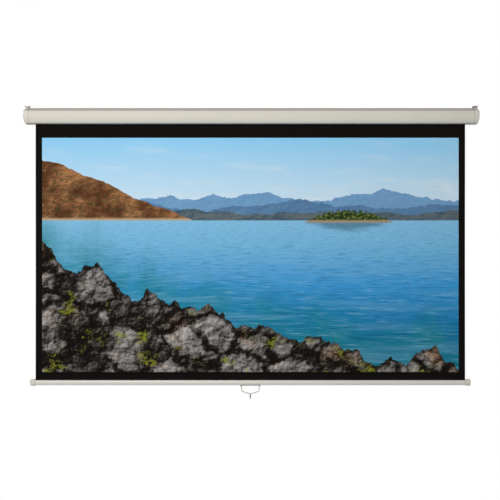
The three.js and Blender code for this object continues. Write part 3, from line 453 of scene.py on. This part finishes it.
def screen_back():
    """Black backing with its weave showing."""
    p = Paint("screen_back", Roughness=0.8, Specular_IOR_Level=0.3)
    uv = p.add("UVMap", uv_map="cut").outputs[0]
    threads = weave(p, uv, 700.0)
    cloud = p.noise(uv, 9.0, 4.0)
    share = p.sum(p.times(threads, 0.4), p.times(cloud, 0.6))
    tint = p.mix(share, (*rgb(14, 14, 15), 1), (*rgb(30, 30, 31), 1))
    p.feed(p.shader.inputs["Base Color"], tint)
    p.bump(threads, 0.0001)
    return p.material


casing_paint = powder_coat("casing_paint", rgb(229, 225, 211), 0.0006)
bar_paint = powder_coat("bar_paint", rgb(230, 227, 217), 0.0006, 0.5, 0.3)
cap_plastic = moulding("cap_plastic", rgb(232, 228, 214), 0.46, 0.0005)
nylon = moulding("nylon", rgb(232, 230, 220), 0.5, 0.0003)
strap_zinc = plated("strap_zinc", rgb(170, 168, 164), 0.4, 0.0004, spangle=210.0)
bracket_zinc = plated("bracket_zinc", rgb(136, 134, 130), 0.4, 0.0002, spangle=260.0)
tube_zinc = plated("tube_zinc", rgb(180, 180, 176), 0.34, 0.0, drawn=(0.05, 1, 1))
steel = plated("steel", rgb(172, 171, 167), 0.38, 0.0002)
screw_zinc = plated("screw_zinc", rgb(198, 197, 192), 0.26, 0.0001)
wire_nickel = plated("wire_nickel", rgb(132, 130, 127), 0.3, 0.0)
spring_wire = plated("spring_wire", rgb(96, 95, 92), 0.4, 0.0)
front_cloth = screen_front()
back_cloth = screen_back()

node_materials = {
    "casing": casing_paint,
    "weight_bar": bar_paint,
    "right_hanger": strap_zinc,
    "left_hanger": strap_zinc,
    "handle_bracket": bracket_zinc,
    "roller_tube": tube_zinc,
    "pull_wire": wire_nickel,
    "torsion_spring": spring_wire,
    "idle_bush": nylon,
    "idle_plug": nylon,
    "drive_plug": nylon,
    "spindle_bearing": nylon,
    "right_end_cap": cap_plastic,
    "left_end_cap": cap_plastic,
    "right_bar_cap": cap_plastic,
    "left_bar_cap": cap_plastic,
}


MERGE_DISTANCE = 1e-5
SHARP_ANGLE = 28  # degrees between two faces, past which their edge stays sharp


def smoother():
    """Joins the facets' corners and shades gentle edges smooth."""
    tree = bpy.data.node_groups.new("smoother", "GeometryNodeTree")
    tree.interface.new_socket("Geometry", in_out="INPUT", socket_type="NodeSocketGeometry")
    tree.interface.new_socket("Geometry", in_out="OUTPUT", socket_type="NodeSocketGeometry")
    start = tree.nodes.new("NodeGroupInput")
    merge = tree.nodes.new("GeometryNodeMergeByDistance")
    angle = tree.nodes.new("GeometryNodeInputMeshEdgeAngle")
    end = tree.nodes.new("NodeGroupOutput")
    faces = tree.nodes.new("GeometryNodeSetShadeSmooth")
    edges = tree.nodes.new("GeometryNodeSetShadeSmooth")
    compare = tree.nodes.new("FunctionNodeCompare")
    merge.inputs["Distance"].default_value = MERGE_DISTANCE
    edges.domain = "EDGE"
    edges.inputs["Shade Smooth"].default_value = False
    compare.operation = "GREATER_THAN"
    compare.inputs[1].default_value = math.radians(SHARP_ANGLE)
    link = tree.links.new
    link(start.outputs[0], merge.inputs["Geometry"])
    link(merge.outputs[0], faces.inputs["Geometry"])
    link(faces.outputs[0], edges.inputs["Geometry"])
    link(angle.outputs[0], compare.inputs[0])
    link(compare.outputs[0], edges.inputs["Selection"])
    link(edges.outputs[0], end.inputs[0])
    return tree


smooth_tree = smoother()
for name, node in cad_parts.items():
    node.data.materials.clear()
    screw = "screw" in name or "pawl_pin" in name
    node.data.materials.append(node_materials.get(name, screw_zinc if screw else steel))
    node.modifiers.new("smooth", "NODES").node_group = smooth_tree


# Cloth
THICKNESS = 0.0005
WRAP_PITCH = 0.0008
WRAP_TURNS = 2
WRAP_STEP_IN = 0.0002
WRAP_STEPS = 64
SHEET_ROWS = 72
SHEET_COLUMNS = 96
HEM_COLUMNS = 24
WRAP_COLUMNS = 8


def sheet_points(path, width, across, lift):
    """A cloth that follows a path of (y, z) points, with its front on the path's left.
    lift(x, i) moves a point forwards, and the UV map holds the flat cut."""
    mesh = bmesh.new()
    cut = mesh.loops.layers.uv.new("cut")
    runs = [0.0]
    for a, b in zip(path, path[1:]):
        runs.append(runs[-1] + math.dist(a, b))
    columns = [-width / 2 + width * k / across for k in range(across + 1)]
    sides = []
    for side in (-0.5, 0.5):
        rows = []
        for i, (y, z) in enumerate(path):
            a, b = path[max(i - 1, 0)], path[min(i + 1, len(path) - 1)]
            reach = math.dist(a, b)
            normal = ((a[1] - b[1]) / reach, (b[0] - a[0]) / reach)
            rows.append([
                mesh.verts.new((
                    x,
                    y + normal[0] * THICKNESS * side - lift(x, i),
                    z + normal[1] * THICKNESS * side,
                ))
                for x in columns
            ])
        sides.append(rows)
    return mesh, cut, runs, columns, sides


def build_sheet(name, path, lift, zero, across):
    """zero is the run along the path at which the cut's v is 0; v falls along the path."""
    mesh, cut, runs, columns, (front, back) = sheet_points(path, cloth_width, across, lift)
    count = len(path)

    def face(corners, places, slot):
        made = mesh.faces.new(corners)
        made.material_index = slot
        made.smooth = slot < 2
        for loop, place in zip(made.loops, places):
            loop[cut].uv = place

    for i in range(count - 1):
        for k in range(across):
            corners = ((i, k), (i, k + 1), (i + 1, k + 1), (i + 1, k))
            places = [(columns[c], zero - runs[r]) for r, c in corners]
            face([front[r][c] for r, c in corners][::-1], places[::-1], 0)
            face([back[r][c] for r, c in corners], places, 1)
    for i in range(count - 1):
        for k in (0, across):
            ring = [front[i][k], front[i + 1][k], back[i + 1][k], back[i][k]]
            face(ring if k == 0 else ring[::-1], [(columns[k], zero - runs[i])] * 4, 1)
    for i in (0, count - 1):
        for k in range(across):
            ring = [front[i][k], front[i][k + 1], back[i][k + 1], back[i][k]]
            face(ring if i == 0 else ring[::-1], [(columns[k], zero - runs[i])] * 4, 1)
    bmesh.ops.recalc_face_normals(mesh, faces=mesh.faces)
    data = bpy.data.meshes.new(name)
    mesh.to_mesh(data)
    mesh.free()
    data.materials.append(front_cloth)
    data.materials.append(back_cloth)
    piece = bpy.data.objects.new(name, data)
    piece.location.x = cloth_middle
    bpy.context.collection.objects.link(piece)
    return piece, runs[-1]


# The hanging cloth ends in a loop round the hem rod. The loop and the black strip above it go up with
# the bar as they are, and the rest of the cloth gets shorter.
rod_low, rod_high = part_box("hem_rod")
rod_y = (rod_low[1] + rod_high[1]) / 2
rod_z = (rod_low[2] + rod_high[2]) / 2
loop_radius = (cloth_high[1] - cloth_low[1]) / 2 - THICKNESS / 2
NECK_RISE = 0.0004
LOOP_START = 4  # degrees
LOOP_SWEEP = 346
LOOP_STEPS = 24
neck_z = rod_z + loop_radius + NECK_RISE
casing_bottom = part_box("casing")[0][2]
image_middle = casing_bottom - TOP_BORDER - IMAGE_HALF_HEIGHT
STRIP_ROWS = 6
STRIP_HEIGHT = 0.03
strip_top = neck_z + STRIP_HEIGHT
hang = [
    (cloth_y, cloth_high[2] + (strip_top - cloth_high[2]) * i / SHEET_ROWS)
    for i in range(SHEET_ROWS + 1)
]
strip = [(cloth_y, strip_top - STRIP_HEIGHT * i / STRIP_ROWS) for i in range(STRIP_ROWS + 1)]
loop = [
    (rod_y - loop_radius * math.sin(a), rod_z + loop_radius * math.cos(a))
    for a in (math.radians(LOOP_START + LOOP_SWEEP * k / LOOP_STEPS) for k in range(LOOP_STEPS + 1))
]


STILL_SHARE = 0.2  # of the cloth's height, from its top, that hangs still
MOVING_SHARE = 0.78
RIPPLE_POWER = 0.8
SETBACK = 0.001
# Depth, radians a metre across, radians from the cloth's top to its bottom, and phase
WAVES = ((0.0006, 9.0, 2.0, 0.0), (0.0004, 23.0, -5.0, 1.3))
EDGE_WIDTH = 0.035
EDGE_CURL = 0.0014


def ripple(x, i):
    """Faint standing waves in the hanging cloth, and edges that curl a little to the back."""
    t = i / SHEET_ROWS
    swing = math.sin(math.pi * min(max((t - STILL_SHARE) / MOVING_SHARE, 0.0), 1.0)) ** RIPPLE_POWER
    wave = sum(depth * math.sin(across * x + down * t + start) for depth, across, down, start in WAVES)
    edge = max(0.0, (abs(x) - cloth_width / 2 + EDGE_WIDTH) / EDGE_WIDTH)
    return -swing * (SETBACK + wave + EDGE_CURL * edge * edge)


def flat(x, i):
    return 0.0


sheet, sheet_length = build_sheet(
    "hanging_cloth", hang, ripple, cloth_high[2] - image_middle, SHEET_COLUMNS
)
hem, hem_length = build_sheet("cloth_hem", strip + loop, flat, strip_top - image_middle, HEM_COLUMNS)
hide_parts("screen_cloth")
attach(sheet, "fixed")
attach(hem, "bar")
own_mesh(sheet)

# The turns that stay on the roller, wound with the backing outside
tube_low, tube_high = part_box("roller_tube")
axis_y = (tube_low[1] + tube_high[1]) / 2
axis_z = (tube_low[2] + tube_high[2]) / 2
outer = cloth_y - axis_y
turns = []
for i in range(WRAP_TURNS * WRAP_STEPS + 1):
    angle = 2 * math.pi * i / WRAP_STEPS
    radius = outer - WRAP_PITCH * i / WRAP_STEPS - WRAP_STEP_IN * min(1.0, 4 * i / WRAP_STEPS)
    turns.append((axis_y + radius * math.cos(angle), axis_z + radius * math.sin(angle)))
wraps, wrap_length = build_sheet("wound_cloth", turns[::-1], flat, 0.0, WRAP_COLUMNS)
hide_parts("cloth_wraps")
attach(wraps, "roller")


# Stage
def add_light(name, place, target, size, energy):
    data = bpy.data.lights.new(name, "AREA")
    data.shape = "RECTANGLE"
    data.size, data.size_y = size
    data.energy = energy
    light = bpy.data.objects.new(name, data)
    light.location = place
    light.rotation_euler = (Vector(target) - Vector(place)).to_track_quat("-Z", "Y").to_euler()
    bpy.context.collection.objects.link(light)


LIGHTS = (
    # name, place, target, width and height, power in watts
    ("key", (-1.0, -4.2, 0.5), (-0.6, 0.0, -0.4), (1.8, 0.8), 139.0),
    ("fill", (2.6, -4.5, 0.3), (0.0, 0.0, -0.6), (2.4, 1.6), 10.0),
    ("side", (4.4, 1.8, 0.6), (0.9, 0.0, -0.3), (2.4, 2.0), 60.0),
    ("back", (-4.5, 3.2, 0.6), (0.0, 0.0, -0.5), (3.0, 2.0), 120.0),
)
for lamp in LIGHTS:
    add_light(*lamp)

WHITE = (1.0, 1.0, 1.0, 1.0)
AMBIENT_STRENGTH = 0.06


def seen_directly(tree):
    """1 for the camera's rays and for those that reach a surface through gloss or glass, else 0."""
    path = tree.nodes.new("ShaderNodeLightPath")
    seen = path.outputs["Is Camera Ray"]
    for name in ("Is Glossy Ray", "Is Transmission Ray"):
        most = tree.nodes.new("ShaderNodeMath")
        most.operation = "MAXIMUM"
        tree.links.new(seen, most.inputs[0])
        tree.links.new(path.outputs[name], most.inputs[1])
        seen = most.outputs[0]
    return seen


def add_world():
    world = bpy.data.worlds.new("world")
    world.use_nodes = True
    tree = world.node_tree
    ambient = tree.nodes["Background"]
    ambient.inputs["Color"].default_value = WHITE
    ambient.inputs["Strength"].default_value = AMBIENT_STRENGTH
    white = tree.nodes.new("ShaderNodeBackground")
    white.inputs["Color"].default_value = WHITE
    white.inputs["Strength"].default_value = 1.0
    mixer = tree.nodes.new("ShaderNodeMixShader")
    tree.links.new(seen_directly(tree), mixer.inputs[0])
    tree.links.new(ambient.outputs[0], mixer.inputs[1])
    tree.links.new(white.outputs[0], mixer.inputs[2])
    tree.links.new(mixer.outputs[0], tree.nodes["World Output"].inputs[0])
    bpy.context.scene.world = world


add_world()


FLOOR_Z = -2.3
FLOOR_HALF = 4.5
FLOOR_BACK = 2.4
FLOOR_GREY = 0.45
FLOOR_GLOW = 0.7
FADE_FROM = 0.4  # shares of the way from the floor's middle to its edges
FADE_TO = 0.95


def add_floor():
    """A pale floor below the screen that takes its shadow and fades to white at its edges."""
    middle = (FLOOR_BACK - FLOOR_HALF) / 2
    depth = (FLOOR_BACK + FLOOR_HALF) / 2
    corners = [(-FLOOR_HALF, -depth), (FLOOR_HALF, -depth), (FLOOR_HALF, depth), (-FLOOR_HALF, depth)]
    data = bpy.data.meshes.new("floor")
    data.from_pydata([(x, y, 0.0) for x, y in corners], [], [(0, 1, 2, 3)])
    floor = bpy.data.objects.new("floor", data)
    floor.location = (0.0, middle, FLOOR_Z)
    bpy.context.collection.objects.link(floor)
    p = Paint("floor", Roughness=0.9, Specular_IOR_Level=0.1)
    p.feed(p.shader.inputs["Base Color"], (FLOOR_GREY, FLOOR_GREY, FLOOR_GREY, 1))
    seen = seen_directly(p.tree)
    glow = p.add("Emission", {"Color": WHITE, "Strength": p.times(seen, FLOOR_GLOW)})
    lit = p.add("AddShader", {0: p.shader.outputs[0], 1: glow.outputs[0]})
    white = p.add("Emission", {"Color": WHITE, "Strength": seen})
    spread = p.stretched(p.spots(), 1 / FLOOR_HALF, 1 / depth, 0.0)
    far = p.add("VectorMath", {0: spread}, operation="LENGTH")
    edge = p.step(far.outputs["Value"], FADE_FROM, FADE_TO)
    shown = p.add("MixShader", {0: edge, 1: lit.outputs[0], 2: white.outputs[0]})
    p.tree.links.new(shown.outputs[0], p.tree.nodes["Material Output"].inputs[0])
    floor.data.materials.append(p.material)


add_floor()

bpy.context.scene.view_settings.view_transform = "Standard"

bpy.context.view_layer.update()
